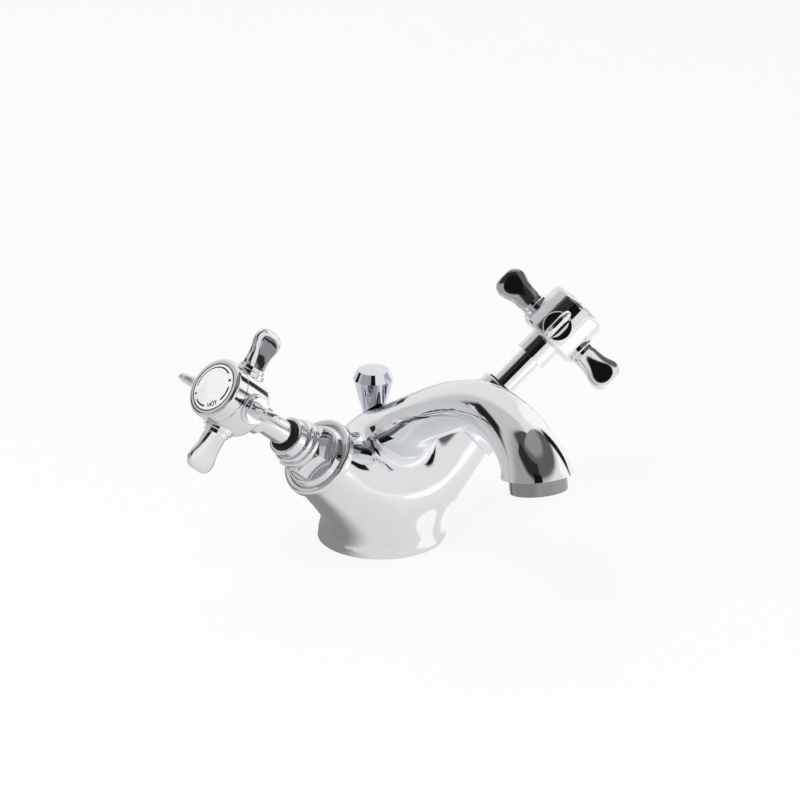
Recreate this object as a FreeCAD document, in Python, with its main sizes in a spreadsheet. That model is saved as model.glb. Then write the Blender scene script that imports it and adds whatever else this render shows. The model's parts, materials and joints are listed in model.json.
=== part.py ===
import FreeCAD, Part
import math
import os
import Sketcher

Vector = FreeCAD.Vector

# Driving sizes in millimetres and degrees. Z is up, the spout points along -Y,
# hot is at -X. "valve" sizes are measured along a valve axis from its pivot.
SIZES = {
    # casting: foot, waist and core
    "foot_radius": 27.0,
    "waist_radius": 25.3,
    "waist_height": 11.0,
    "core_height": 22.5,
    "core_blend": 9.0,
    "crotch_blend": 18.0,
    "crotch_start": 12.0,
    "crotch_full": 36.0,
    "dome_rise": 4.0,
    # casting: arms and valve axes
    "valve_y": -3.6,
    "valve_z": 15.2,
    "valve_tilt": 40.5,
    "valve_sweep": 8.0,
    "arm_root_radius": 24.2,
    "arm_end_radius": 15.4,
    "arm_length": 44.5,
    # casting: root of the spout, then each next section by its step forward and its lift
    "neck_forward": 22.0,
    "neck_height": 57.7,
    "neck_climb": 34.0,
    "neck_radius": 11.5,
    "root_length": 27.0,
    "root_radius": 13.0,
    "root_blend": 10.0,
    "ease_step": 9.0,
    "ease_lift": 6.0,
    "ease_climb": 33.0,
    "ease_radius": 11.1,
    "rise_step": 11.0,
    "rise_lift": 6.7,
    "rise_climb": 30.0,
    "rise_radius": 10.8,
    "brow_step": 24.0,
    "brow_lift": 11.8,
    "brow_climb": 20.0,
    "brow_radius": 10.6,
    "crown_step": 24.0,
    "crown_lift": 5.2,
    "crown_climb": 4.0,
    "crown_radius": 10.9,
    "bend_step": 17.0,
    "bend_lift": -2.4,
    "bend_climb": -24.0,
    "bend_radius": 11.7,
    "lip_step": 11.0,
    "lip_lift": -6.0,
    "lip_climb": -56.0,
    "lip_radius": 13.0,
    "mouth_step": 4.8,
    "mouth_lift": -5.8,
    "mouth_tilt": 11.0,
    "mouth_radius": 14.7,
    # casting: waterways and fixings
    "waterway_radius": 6.5,
    "chamber_radius": 7.2,
    "chamber_length": 16.0,
    "socket_floor": 22.0,
    "feed_radius": 4.0,
    "feed_start": 9.5,
    "inlet_x": 8.4,
    "inlet_y": -4.8,
    "inlet_radius": 4.5,
    "inlet_depth": 12.0,
    "riser_radius": 3.5,
    "riser_top": 22.3,
    "mix_radius": 3.0,
    "mix_from": 33.0,
    "stud_y": -12.5,
    "stud_radius": 3.4,
    "stud_depth": 14.0,
    # how far cutters and hidden joints run on past a face
    "overrun": 6.0,
    "weld": 1.0,
    # base gasket
    "foot_rim": 2.6,
    "gasket_width": 4.4,
    "gasket_thickness": 2.0,
    # clearances
    "seat_gap": 0.05,
    "socket_gap": 0.1,
    "running_gap": 0.08,
    "gland_gap": 0.3,
    "disc_gap": 0.05,
    # bonnet flange
    "flange_proud": 1.7,
    "flange_bead": 2.8,
    "flange_lip": 3.9,
    "flange_dish": 0.9,
    "flange_shoulder": 3.2,
    "flange_height": 6.1,
    # headwork
    "headwork_radius": 9.5,
    "headwork_foot_radius": 7.4,
    "headwork_foot": 12.0,
    "seat_seal_height": 2.0,
    "seat_seal_width": 2.8,
    "window_width": 5.0,
    "window_start": 3.4,
    "window_height": 5.6,
    "hex_wall": 1.0,
    "hex_height": 8.6,
    "hex_chamfer": 1.3,
    "collar_radius": 10.3,
    "collar_height": 2.4,
    # gland
    "seal_width": 1.9,
    "seal_depth": 2.6,
    "seal_proud": 0.9,
    "gland_wall": 1.6,
    "gland_height": 7.6,
    "gland_bead_proud": 1.3,
    "gland_bead": 3.2,
    # ceramic discs
    "disc_radius": 6.0,
    "disc_thickness": 3.0,
    "port_radius": 1.8,
    "port_offset": 3.5,
    "tang_width": 2.4,
    "tang_length": 7.0,
    "tang_depth": 1.4,
    # spindle
    "spindle_radius": 5.0,
    "spindle_flange": 3.2,
    "spindle_bare": 16.5,
    "spindle_reach": 8.4,
    "spline_depth": 1.0,
    "spline_lead": 3.6,
    "oring_inset": 6.6,
    "oring_height": 1.8,
    "oring_depth": 1.2,
    # handle
    "sleeve_radius": 7.1,
    "sleeve_length": 9.0,
    "hub_radius": 13.3,
    "hub_round": 2.2,
    "hub_cavity_radius": 5.6,
    "boss_radius": 6.4,
    "boss_proud": 0.7,
    "boss_drop": 1.2,
    "boss_brow": 0.9,
    "tail_radius": 2.9,
    "tail_depth": 4.1,
    "spoke_collar_radius": 5.5,
    "spoke_collar": 1.5,
    # paddle of a spoke: each next section by its step outwards, half width and half thickness
    "paddle_square": 3.2,
    "root_half": 4.8,
    "root_thick": 3.3,
    "nip_step": 4.2,
    "nip_half": 5.3,
    "nip_thick": 2.6,
    "swell_step": 5.0,
    "swell_half": 6.5,
    "swell_thick": 2.1,
    "broad_step": 3.8,
    "broad_half": 7.0,
    "broad_thick": 1.9,
    "nose_step": 2.6,
    "nose_half": 5.5,
    "nose_thick": 1.6,
    "tip_step": 1.1,
    "tip_half": 2.8,
    "tip_thick": 0.9,
    "hot_twist": 2.0,
    "cold_twist": -35.1,
    # cap and index
    "cap_radius": 13.1,
    "cap_rim": 2.5,
    "cap_height": 6.2,
    "cap_floor": 2.0,
    "index_edge": 4.0,
    "index_rise": 1.6,
    "screw_radius": 1.6,
    "screw_length": 9.0,
    "screw_head_radius": 3.6,
    "screw_head": 3.2,
    # aerator, measured outwards from the spout mouth
    "mouth_wall": 3.7,
    "mouth_depth": 5.0,
    "washer_height": 1.2,
    "washer_width": 3.0,
    "aerator_step": 0.7,
    "aerator_wall": 1.4,
    "aerator_drop": 6.5,
    "aerator_lip_reach": 1.2,
    "aerator_lip_height": 1.2,
    "insert_wall": 1.6,
    "insert_floor": 3.0,
    "jet_radius": 1.1,
    "jet_circle": 5.2,
    # pop-up lift
    "lift_y": 6.5,
    "rod_radius": 2.5,
    "rod_bottom": 2.0,
    "rod_grip": 10.5,
    "shaft_gap": 0.7,
    "bush_wall": 1.5,
    "bush_bottom": 30.0,
    "bush_length": 14.0,
    "well_gap": 0.6,
    "knob_bottom": 51.5,
    "knob_foot_radius": 3.6,
    "knob_stem_radius": 4.5,
    "knob_stem": 1.6,
    "knob_radius": 8.5,
    "knob_taper": 17.1,
    "knob_bevel_radius": 6.6,
    "knob_bevel": 3.8,
    "knob_crown": 1.4,
}

# Sums of sizes that several pieces share.
SEAT = "socket_floor + seat_seal_height"
SOCKET_RADIUS = "headwork_radius + socket_gap"
MOVING = SEAT + " + disc_thickness + disc_gap"
SPINDLE_FOOT = MOVING + " + disc_thickness + disc_gap"
CHAMBER_TOP = SPINDLE_FOOT + " + spindle_flange + running_gap"
ORING_START = CHAMBER_TOP + " + oring_inset"
FLANGE_RADIUS = "arm_end_radius + flange_proud"
HEX_HALF = "headwork_radius + hex_wall"
HEX_BOTTOM = "arm_length + flange_height"
HEX_TOP = HEX_BOTTOM + " + hex_height"
HEADWORK_TOP = HEX_TOP + " + collar_height"
GLAND_TOP = HEADWORK_TOP + " + gland_height"
SEAL_RADIUS = "spindle_radius + seal_width"
GLAND_RADIUS = SEAL_RADIUS + " + gland_wall"
GLAND_BEAD_RADIUS = GLAND_RADIUS + " + gland_bead_proud"
SPLINE_RADIUS = "spindle_radius - spline_depth"
SLEEVE_BOTTOM = GLAND_TOP + " + seal_proud + spindle_bare"
HUB_BOTTOM = SLEEVE_BOTTOM + " + sleeve_length"
SPLINE_START = HUB_BOTTOM + " - spline_lead"
SPINDLE_TOP = HUB_BOTTOM + " + spindle_reach"
SPOKE_LEVEL = HUB_BOTTOM + " + boss_drop + boss_radius"
HUB_TOP = SPOKE_LEVEL + " + boss_radius + boss_brow"
BOSS_END = "hub_radius + boss_proud"
TAIL_START = "hub_radius - tail_depth"
INDEX_RADIUS = "cap_radius - cap_rim"
GASKET_OUTER = "foot_radius - foot_rim"
GASKET_INNER = GASKET_OUTER + " - gasket_width"
MOUTH_BORE = "mouth_radius - mouth_wall"
AERATOR_BORE = MOUTH_BORE + " - aerator_wall"
BUSH_RADIUS = "rod_radius + bush_wall"
KNOB_WIDE = "knob_bottom + knob_taper"
KNOB_BEVEL = KNOB_WIDE + " + knob_bevel"
KNOB_TOP = KNOB_BEVEL + " + knob_crown"
ROD_TOP = "knob_bottom + rod_grip"

# Spout sections from the root to the mouth, with the sums that place them.
STATIONS = ("neck", "ease", "rise", "brow", "crown", "bend", "lip", "mouth")
FORWARD = {"neck": "neck_forward"}
HEIGHT = {"neck": "neck_height"}
for before, station in zip(STATIONS, STATIONS[1:]):
    FORWARD[station] = f"{FORWARD[before]} + {station}_step"
    HEIGHT[station] = f"{HEIGHT[before]} + {station}_lift"

doc = FreeCAD.newDocument("BasinMixer")
sheet = doc.addObject("Spreadsheet::Sheet", "Sizes")
for row, (alias, size) in enumerate(SIZES.items(), 1):
    sheet.set(f"A{row}", alias)
    sheet.set(f"B{row}", str(size))
    sheet.setAlias(f"B{row}", alias)
doc.recompute()
VALUES = {alias: sheet.get(alias) for alias in SIZES}


def total(text):
    """The value of a sum of named sizes, such as "hex_half - hex_chamfer"."""
    amount = 0.0
    sign = 1.0
    for word in text.split():
        if word in ("+", "-"):
            sign = 1.0 if word == "+" else -1.0
            continue
        product = 1.0
        for part in word.split("*"):
            product *= VALUES[part] if part in VALUES else float(part)
        amount += sign * product
    return amount


def formula(text):
    """The same sum as an expression on the sheet."""
    words = []
    for word in text.split():
        parts = [f"Sizes.{part}" if part in SIZES else part for part in word.split("*")]
        words.append(" * ".join(parts))
    return " ".join(words)


def bind(thing, **properties):
    for name, text in properties.items():
        thing.setExpression(name, formula(text))


def plane(body, role):
    return next(item for item in body.Origin.OriginFeatures if item.Role == role)


def new_body(label):
    body = doc.addObject("PartDesign::Body", label)
    body.Label = label
    return body


def sketch_on(body, name, role, offset="0"):
    sketch = body.newObject("Sketcher::SketchObject", name)
    sketch.AttachmentSupport = [(plane(body, role), "")]
    sketch.MapMode = "FlatFace"
    if offset != "0":
        sketch.AttachmentOffset = FreeCAD.Placement(Vector(0, 0, total(offset)), FreeCAD.Rotation())
        sketch.setExpression("AttachmentOffset.Base.z", formula(offset))
    return sketch


def tie(sketch, geometry, end, across, up):
    """Ties one point of the sketch to the sheet, on an axis where a coordinate is 0."""
    if across == "0":
        sketch.addConstraint(Sketcher.Constraint("PointOnObject", geometry, end, -2))
    else:
        index = sketch.addConstraint(Sketcher.Constraint("DistanceX", -1, 1, geometry, end, total(across)))
        sketch.setExpression(f"Constraints[{index}]", formula(across))
    if up == "0":
        sketch.addConstraint(Sketcher.Constraint("PointOnObject", geometry, end, -1))
    else:
        index = sketch.addConstraint(Sketcher.Constraint("DistanceY", -1, 1, geometry, end, total(up)))
        sketch.setExpression(f"Constraints[{index}]", formula(up))


def polygon(sketch, corners):
    """A closed outline of straight edges with every corner tied to the sheet."""
    places = [Vector(total(across), total(up), 0) for across, up in corners]
    count = len(places)
    lines = []
    for index in range(count):
        line = Part.LineSegment(places[index], places[(index + 1) % count])
        lines.append(sketch.addGeometry(line, False))
    for index in range(count):
        following = lines[(index + 1) % count]
        sketch.addConstraint(Sketcher.Constraint("Coincident", lines[index], 2, following, 1))
    for line, (across, up) in zip(lines, corners):
        tie(sketch, line, 1, across, up)


def circle(sketch, across, up, radius):
    at = Vector(total(across), total(up), 0)
    ring = sketch.addGeometry(Part.Circle(at, Vector(0, 0, 1), total(radius)), False)
    tie(sketch, ring, 3, across, up)
    index = sketch.addConstraint(Sketcher.Constraint("Radius", ring, total(radius)))
    sketch.setExpression(f"Constraints[{index}]", formula(radius))


def turn(body, name, corners, kind="PartDesign::Revolution"):
    """Turns a profile of (radius, height) corners about the body's Z axis."""
    sketch = sketch_on(body, name + "_profile", "XZ_Plane")
    polygon(sketch, corners)
    feature = body.newObject(kind, name)
    feature.Profile = sketch
    feature.ReferenceAxis = (sketch, ["V_Axis"])
    feature.Angle = 360.0
    body.Tip = feature
    doc.recompute()
    return feature


def turned(label, corners):
    body = new_body(label)
    turn(body, label + "_turned", corners)
    return body


def soften(body, base, name, radius, edges):
    fillet = body.newObject("PartDesign::Fillet", name)
    fillet.Base = (base, edges)
    bind(fillet, Radius=radius)
    body.Tip = fillet
    doc.recompute()


def rounded(body, name, radius, rims):
    """Rounds the circular edges of the body's tip at the given (radius, height) rims."""
    base = body.Tip
    edges = []
    for across, up in rims:
        for number, edge in enumerate(base.Shape.Edges, 1):
            if not isinstance(edge.Curve, Part.Circle):
                continue
            same_radius = abs(edge.Curve.Radius - total(across)) < 1e-4
            if same_radius and abs(edge.Curve.Center.z - total(up)) < 1e-4:
                edges.append(f"Edge{number}")
    soften(body, base, name, radius, edges)


def pad(body, sketch, name, length, backwards=False):
    feature = body.newObject("PartDesign::Pad", name)
    feature.Profile = sketch
    bind(feature, Length=length)
    feature.Reversed = backwards
    body.Tip = feature
    doc.recompute()
    return feature


def pocket_through(body, sketch, name):
    feature = body.newObject("PartDesign::Pocket", name)
    feature.Profile = sketch
    feature.Type = "ThroughAll"
    feature.Midplane = True
    body.Tip = feature
    doc.recompute()
    return feature


def ring_of(body, feature, name, count):
    """Repeats the feature round the body's Z axis."""
    pattern = body.newObject("PartDesign::PolarPattern", name)
    pattern.Originals = [feature]
    axis = next(item for item in body.Origin.OriginFeatures if item.Role == "Z_Axis")
    pattern.Axis = (axis, [""])
    pattern.Angle = 360.0
    pattern.Occurrences = count
    body.Tip = pattern
    doc.recompute()


VALVE_PLACE = {
    "hot": "placement(vector(0; Sizes.valve_y; Sizes.valve_z); "
           "rotation(Sizes.valve_sweep; Sizes.valve_tilt - 90; 0))",
    "cold": "placement(vector(0; Sizes.valve_y; Sizes.valve_z); "
            "rotation(-Sizes.valve_sweep; 90 - Sizes.valve_tilt; 0))",
}
MOUTH_PLACE = (f"placement(vector(0; -({formula(FORWARD['mouth'])}); {formula(HEIGHT['mouth'])}); "
               "rotation(0; 0; 180 - Sizes.mouth_tilt))")
FRAME_PLACE = "placement(vector(0; 0; 0); rotation(0; 0; 0))"


def raised(place, height):
    """A placement moved along its own Z axis."""
    return f"{place} * placement(vector(0; 0; {formula(height)}); rotation(0; 0; 0))"


def lift_at(height):
    return f"placement(vector(0; Sizes.lift_y; {formula(height)}); rotation(0; 0; 0))"


def twisted(side, quarter):
    """A valve placement turned about its axis to one spoke, at spoke level."""
    turning = f"rotation(Sizes.{side}_twist + {90 * quarter}; 0; 0)"
    return f"{raised(VALVE_PLACE[side], SPOKE_LEVEL)} * placement(vector(0; 0; 0); {turning})"


def put(thing, place):
    thing.setExpression("Placement", place)
    return thing


# Casting skin: foot, core, two arms and the root of the spout as one blended
# surface. Rays from inside find where each ring of the skin lies.
RING_POINTS = 112
NECK_POINTS = 72
OUTLINE_MARKS = 3000
LOW_RINGS = 9
HIGH_RINGS = 31
STEEPEST = math.radians(83)


def valve_axis(side):
    tilt = math.radians(total("valve_tilt"))
    sweep = math.radians(total("valve_sweep"))
    across = math.cos(tilt) * math.cos(sweep)
    return Vector(side * across, -math.cos(tilt) * math.sin(sweep), math.sin(tilt))


PIVOT = Vector(0, total("valve_y"), total("valve_z"))
AXES = (valve_axis(-1), valve_axis(1))
NECK = Vector(0, -total("neck_forward"), total("neck_height"))
NECK_ANGLE = math.radians(total("neck_climb"))
NECK_AXIS = Vector(0, -math.cos(NECK_ANGLE), math.sin(NECK_ANGLE))


def smooth_union(first, second, width):
    overlap = max(width - abs(first - second), 0.0) / width
    return min(first, second) - overlap * overlap * width / 4


def eased(value, start, end):
    share = min(1.0, max(0.0, (value - start) / (end - start)))
    return share * share * (3 - 2 * share)


def core_distance(point):
    """Distance outside the turned core: flared foot, straight waist, round top."""
    reach = math.hypot(point.x, point.y)
    waist = total("waist_radius")
    if point.z < total("waist_height"):
        flare = 1 - eased(point.z, 0.0, total("waist_height"))
        return reach - waist - (total("foot_radius") - waist) * flare
    if point.z < total("core_height"):
        return reach - waist
    return math.hypot(reach, point.z - total("core_height")) - waist


def cone_distance(point, start, axis, length, start_radius, end_radius):
    """Distance outside a tapered bar with round ends."""
    offset = point.sub(start)
    along = offset.dot(axis)
    aside = offset.sub(Vector(axis).multiply(along)).Length
    if along < 0:
        return math.hypot(aside, along) - start_radius
    if along > length:
        return math.hypot(aside, along - length) - end_radius
    return aside - start_radius + (start_radius - end_radius) * along / length


def arm_distance(point, axis):
    """An arm runs on past its cut end, so that the cut finds the true radius there."""
    root = total("arm_root_radius")
    taper = (root - total("arm_end_radius")) / total("arm_length")
    length = total("arm_length + overrun")
    return cone_distance(point, PIVOT, axis, length, root, root - taper * length)


def root_distance(point):
    """The spout's root, straight through the plane where the lofted spout takes over."""
    start = NECK.sub(Vector(NECK_AXIS).multiply(total("root_length")))
    taper = (total("root_radius") - total("neck_radius")) / total("root_length")
    length = total("root_length + overrun")
    end_radius = total("root_radius") - taper * length
    return cone_distance(point, start, NECK_AXIS, length, total("root_radius"), end_radius)


def skin_distance(point):
    crotch = 1.0 + total("crotch_blend") * eased(point.z, total("crotch_start"), total("crotch_full"))
    arms = smooth_union(arm_distance(point, AXES[0]), arm_distance(point, AXES[1]), crotch)
    core = 0.5 + total("core_blend") * eased(point.z, 0.0, total("core_height"))
    trunk = smooth_union(arms, core_distance(point), core)
    return smooth_union(trunk, root_distance(point), total("root_blend"))


def skin_point(centre, way):
    """The point where a ray from inside leaves the skin, found by halving."""
    inner = 0.0
    outer = 2 * total("arm_length")
    for halving in range(30):
        middle = (inner + outer) / 2
        if skin_distance(centre.add(Vector(way).multiply(middle))) < 0:
            inner = middle
        else:
            outer = middle
    return centre.add(Vector(way).multiply(inner))


def closed_curve(points):
    """One smooth closed wire through points at even steps."""
    curve = Part.BSplineCurve()
    marks = [step / len(points) for step in range(len(points) + 1)]
    curve.interpolate(Points=points, PeriodicFlag=True, Parameters=marks)
    return Part.Wire([curve.toShape()])


def skin_ring(centre, rise):
    """One closed ring of the skin, at the given rise angle above the centre."""
    points = []
    for step in range(RING_POINTS):
        bearing = math.pi / 2 + 2 * math.pi * step / RING_POINTS
        level = math.cos(rise)
        way = Vector(level * math.cos(bearing), level * math.sin(bearing), math.sin(rise))
        points.append(skin_point(centre, way))
    return closed_curve(points)


def casting_skin():
    """Level rings up to the core's top, then steeper rings that close on the lift rod."""
    low = total("valve_y") / 2
    height = total("core_height + dome_rise")
    rings = []
    for step in range(LOW_RINGS):
        rings.append(skin_ring(Vector(0, low, height * step / LOW_RINGS), 0.0))
    for step in range(HIGH_RINGS):
        share = step / (HIGH_RINGS - 1)
        back = low + (total("lift_y") - low) * share * share
        rings.append(skin_ring(Vector(0, back, height), STEEPEST * share))
    side = Part.makeLoft(rings, False, False)
    lid = Part.makeFilledFace([rings[-1].Edges[0]])
    shell = Part.makeShell(list(side.Faces) + [Part.Face(rings[0]), lid])
    shell.sewShape()
    return Part.makeSolid(Part.Shell(shell.Faces))


skin = doc.addObject("Part::Feature", "casting_skin")
skin.Shape = casting_skin()


def cylinder(name, radius, height, place):
    bar = doc.addObject("Part::Cylinder", name)
    bind(bar, Radius=radius, Height=height)
    return put(bar, place)


def united(name, things):
    joined = doc.addObject("Part::MultiFuse", name)
    joined.Shapes = things
    return joined


def taken(name, base, tool):
    result = doc.addObject("Part::Cut", name)
    result.Base = base
    result.Tool = tool
    return result


def cone(name, radius, end_radius, height, place):
    bar = doc.addObject("Part::Cone", name)
    bind(bar, Radius1=radius, Radius2=end_radius, Height=height)
    return put(bar, place)


# Both arms are faced off square to their valve axes, and the root where the spout starts.
facings = []
for side in ("hot", "cold"):
    end = raised(VALVE_PLACE[side], "arm_length")
    facings.append(cylinder(f"{side}_arm_facing", "arm_root_radius + overrun", "arm_length", end))
neck_place = ("placement(vector(0; -Sizes.neck_forward; Sizes.neck_height); "
              "rotation(0; 0; 90 - Sizes.neck_climb))")
facings.append(cylinder("root_facing", "neck_radius + overrun", "arm_length", neck_place))
faced = taken("faced_skin", skin, united("facing", facings))


def section(name, station, radius):
    """A round section of the waterway, square to the spout's centre line."""
    ring = doc.addObject("Part::Circle", name)
    bind(ring, Radius=radius)
    if station == "mouth":
        lean = "180 - Sizes.mouth_tilt"
    else:
        lean = f"90 - Sizes.{station}_climb"
    spot = f"vector(0; -({formula(FORWARD[station])}); {formula(HEIGHT[station])})"
    seam_below = "placement(vector(0; 0; 0); rotation(-90; 0; 0))"
    return put(ring, f"placement({spot}; rotation(0; 0; {lean})) * {seam_below}")


def loft(name, rings):
    form = doc.addObject("Part::Loft", name)
    form.Sections = rings
    form.Solid = True
    form.Ruled = False
    return form


# Spout: a loft from the faced root through round sections square to its centre line.
def round_a_section(centre, climb, angle, radius):
    """A point round the spout, by its angle from the section's lowest point."""
    below = radius * math.cos(angle)
    return centre.add(Vector(radius * math.sin(angle), -below * math.sin(climb), -below * math.cos(climb)))


def spout_ring(station):
    """A round section of the spout, drawn at the same even angles as the neck."""
    climb = math.radians(total("mouth_tilt") - 90 if station == "mouth" else total(f"{station}_climb"))
    centre = Vector(0, -total(FORWARD[station]), total(HEIGHT[station]))
    radius = total(f"{station}_radius")
    ring = doc.addObject("Part::Feature", f"spout_{station}")
    ring.Shape = closed_curve([round_a_section(centre, climb, 2 * math.pi * step / NECK_POINTS, radius)
                               for step in range(NECK_POINTS)])
    return ring


def evened(outline):
    """The root's own outline, redrawn at even angles about the neck from its lowest point."""
    polar = []
    for point in outline.discretize(OUTLINE_MARKS):
        offset = point.sub(NECK)
        below = -offset.y * math.sin(NECK_ANGLE) - offset.z * math.cos(NECK_ANGLE)
        polar.append((math.atan2(offset.x, below) % (2 * math.pi), offset.Length))
    polar.sort()
    polar = [(polar[-1][0] - 2 * math.pi, polar[-1][1])] + polar + [(polar[0][0] + 2 * math.pi, polar[0][1])]
    points = []
    mark = 0
    for step in range(NECK_POINTS):
        angle = 2 * math.pi * step / NECK_POINTS
        while polar[mark + 1][0] < angle:
            mark += 1
        before, after = polar[mark], polar[mark + 1]
        share = (angle - before[0]) / (after[0] - before[0])
        radius = before[1] + (after[1] - before[1]) * share
        points.append(round_a_section(NECK, NECK_ANGLE, angle, radius))
    return closed_curve(points)


doc.recompute()
neck_edge = doc.addObject("Part::Feature", "spout_neck")
neck_edge.Shape = evened(next(face.OuterWire for face in faced.Shape.Faces
                              if isinstance(face.Surface, Part.Plane)
                              and face.CenterOfMass.distanceToPoint(NECK) < total("neck_radius")))
spout = loft("spout_form", [neck_edge] + [spout_ring(name) for name in STATIONS[1:]])
outside = united("casting_outside", [faced, spout])

# Waterways and fixings cut from the casting.
cutters = []
chamber_floor = NECK.sub(Vector(NECK_AXIS).multiply(total("chamber_length - weld")))
for side, sign, axis in (("hot", "-", AXES[0]), ("cold", "", AXES[1])):
    valve = VALVE_PLACE[side]
    inlet_at = f"placement(vector({sign}Sizes.inlet_x; Sizes.inlet_y; 0); rotation(0; 0; 0))"
    cutters.append(cylinder(f"{side}_socket", SOCKET_RADIUS, "arm_length", raised(valve, "socket_floor")))
    cutters.append(cylinder(f"{side}_feed", "feed_radius", "socket_floor - feed_start + weld",
                            raised(valve, "feed_start")))
    cutters.append(cylinder(f"{side}_inlet", "inlet_radius", "inlet_depth", inlet_at))
    cutters.append(cylinder(f"{side}_riser", "riser_radius", "riser_top", inlet_at))
    start = PIVOT.add(Vector(axis).multiply(total("mix_from")))
    way = chamber_floor.sub(start)
    duct = doc.addObject("Part::Cylinder", f"{side}_mixing_duct")
    bind(duct, Radius="mix_radius")
    duct.Height = way.Length
    duct.Placement = FreeCAD.Placement(start, FreeCAD.Rotation(Vector(0, 0, 1), way))
    cutters.append(duct)
waterway_rings = [section(f"waterway_{name}", name, "waterway_radius") for name in STATIONS]
cutters.append(loft("waterway", waterway_rings))
cutters.append(cylinder("mixing_chamber", "chamber_radius", "chamber_length + weld",
                        raised(neck_place, "- chamber_length")))
cutters.append(cylinder("mouth_chamber", MOUTH_BORE, "mouth_depth + overrun",
                        raised(MOUTH_PLACE, "- mouth_depth")))
cutters.append(cylinder("stud_hole", "stud_radius", "stud_depth",
                        "placement(vector(0; Sizes.stud_y; 0); rotation(0; 0; 0))"))
cutters.append(cylinder("lift_bore", "rod_radius + shaft_gap", KNOB_TOP, lift_at("0")))
cutters.append(cylinder("bush_bore", BUSH_RADIUS + " + seat_gap", KNOB_TOP + " - bush_bottom",
                        lift_at("bush_bottom")))
cutters.append(cone("knob_well", "knob_stem_radius + well_gap", "knob_radius + well_gap",
                    "knob_taper + well_gap", lift_at("knob_bottom - well_gap")))
groove = taken("gasket_groove",
               cylinder("groove_outer", GASKET_OUTER + " + seat_gap", "gasket_thickness", FRAME_PLACE),
               cylinder("groove_inner", GASKET_INNER + " - seat_gap", "gasket_thickness", FRAME_PLACE))
cutters.append(groove)
casting = taken("body_casting", outside, united("casting_bores", cutters))
casting.Label = "body_casting"
doc.recompute()

PARTS = [casting]

gasket = turned("base_gasket", [
    (GASKET_INNER, "0"),
    (GASKET_OUTER, "0"),
    (GASKET_OUTER, "gasket_thickness"),
    (GASKET_INNER, "gasket_thickness"),
])
PARTS.append(gasket)


def bonnet_flange(label):
    """A beaded shroud: round outer bead, dished ring and a shoulder up to the hexagon."""
    bore = "headwork_radius + seat_gap"
    top = "arm_length + flange_height"
    lip = "arm_length + flange_lip"
    bead = FLANGE_RADIUS + " - flange_bead"
    body = turned(label, [
        (bore, "arm_length"),
        (FLANGE_RADIUS, "arm_length"),
        (FLANGE_RADIUS, lip),
        (bead, lip),
        (bead, lip + " - flange_dish"),
        ("headwork_radius + flange_shoulder", top),
        (bore, top),
    ])
    rounded(body, label + "_bead", "flange_bead*0.46", [(FLANGE_RADIUS, lip)])
    rounded(body, label + "_dish", "flange_dish*0.8", [(bead, lip)])
    rounded(body, label + "_foot", "flange_bead*0.3", [(FLANGE_RADIUS, "arm_length")])
    rounded(body, label + "_shoulder", "flange_shoulder*0.4", [("headwork_radius + flange_shoulder", top)])
    return body


def headwork(label):
    shaft = "spindle_radius + running_gap"
    chamber = "disc_radius + running_gap"
    body = turned(label, [
        (chamber, SEAT),
        ("headwork_foot_radius", SEAT),
        ("headwork_foot_radius", SEAT + " + headwork_foot"),
        ("headwork_radius", SEAT + " + headwork_foot"),
        ("headwork_radius", HEX_TOP),
        ("collar_radius", HEX_TOP),
        ("collar_radius", HEADWORK_TOP),
        (shaft, HEADWORK_TOP),
        (shaft, CHAMBER_TOP),
        (chamber, CHAMBER_TOP),
    ])
    rounded(body, label + "_collar", "collar_height*0.42", [("collar_radius", HEADWORK_TOP)])
    outline = sketch_on(body, label + "_hex_outline", "XY_Plane", HEX_BOTTOM)
    half = "headwork_radius*0.57735 + hex_wall*0.57735"
    low_half = "- headwork_radius*0.57735 - hex_wall*0.57735"
    point = "headwork_radius*1.1547 + hex_wall*1.1547"
    low_point = "- headwork_radius*1.1547 - hex_wall*1.1547"
    left = "- headwork_radius - hex_wall"
    ends = [(HEX_HALF, half), ("0", point), (left, half)]
    ends += [(left, low_half), ("0", low_point), (HEX_HALF, low_half)]
    polygon(outline, ends)
    circle(outline, "0", "0", "headwork_radius - weld")
    pad(body, outline, label + "_hex", "hex_height")
    for end, away in ((HEX_TOP, "-"), (HEX_BOTTOM, "+")):
        name = label + ("_crown" if away == "-" else "_foot")
        turn(body, name, [
            (HEX_HALF, end),
            ("headwork_radius*1.2 + hex_wall*1.2", end),
            ("headwork_radius*1.2 + hex_wall*1.2", end + f" {away} hex_chamfer"),
        ], "PartDesign::Groove")
    slot = sketch_on(body, label + "_window_outline", "XZ_Plane")
    low = SEAT + " + window_start"
    high = low + " + window_height"
    polygon(slot, [
        ("- window_width*0.5", low),
        ("window_width*0.5", low),
        ("window_width*0.5", high),
        ("- window_width*0.5", high),
    ])
    pocket_through(body, slot, label + "_windows")
    return body


def gland_nut(label):
    bore = "spindle_radius + gland_gap"
    bead = HEADWORK_TOP + " + gland_bead"
    recess = GLAND_TOP + " - seal_depth"
    body = turned(label, [
        (bore, HEADWORK_TOP),
        (GLAND_BEAD_RADIUS, HEADWORK_TOP),
        (GLAND_BEAD_RADIUS, bead),
        (GLAND_RADIUS, bead),
        (GLAND_RADIUS, GLAND_TOP),
        (SEAL_RADIUS + " + seat_gap", GLAND_TOP),
        (SEAL_RADIUS + " + seat_gap", recess),
        (bore, recess),
    ])
    rounded(body, label + "_bead", "gland_bead*0.38", [
        (GLAND_BEAD_RADIUS, HEADWORK_TOP),
        (GLAND_BEAD_RADIUS, bead),
    ])
    rounded(body, label + "_rim", "gland_wall*0.5", [(GLAND_RADIUS, GLAND_TOP)])
    return body


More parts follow.
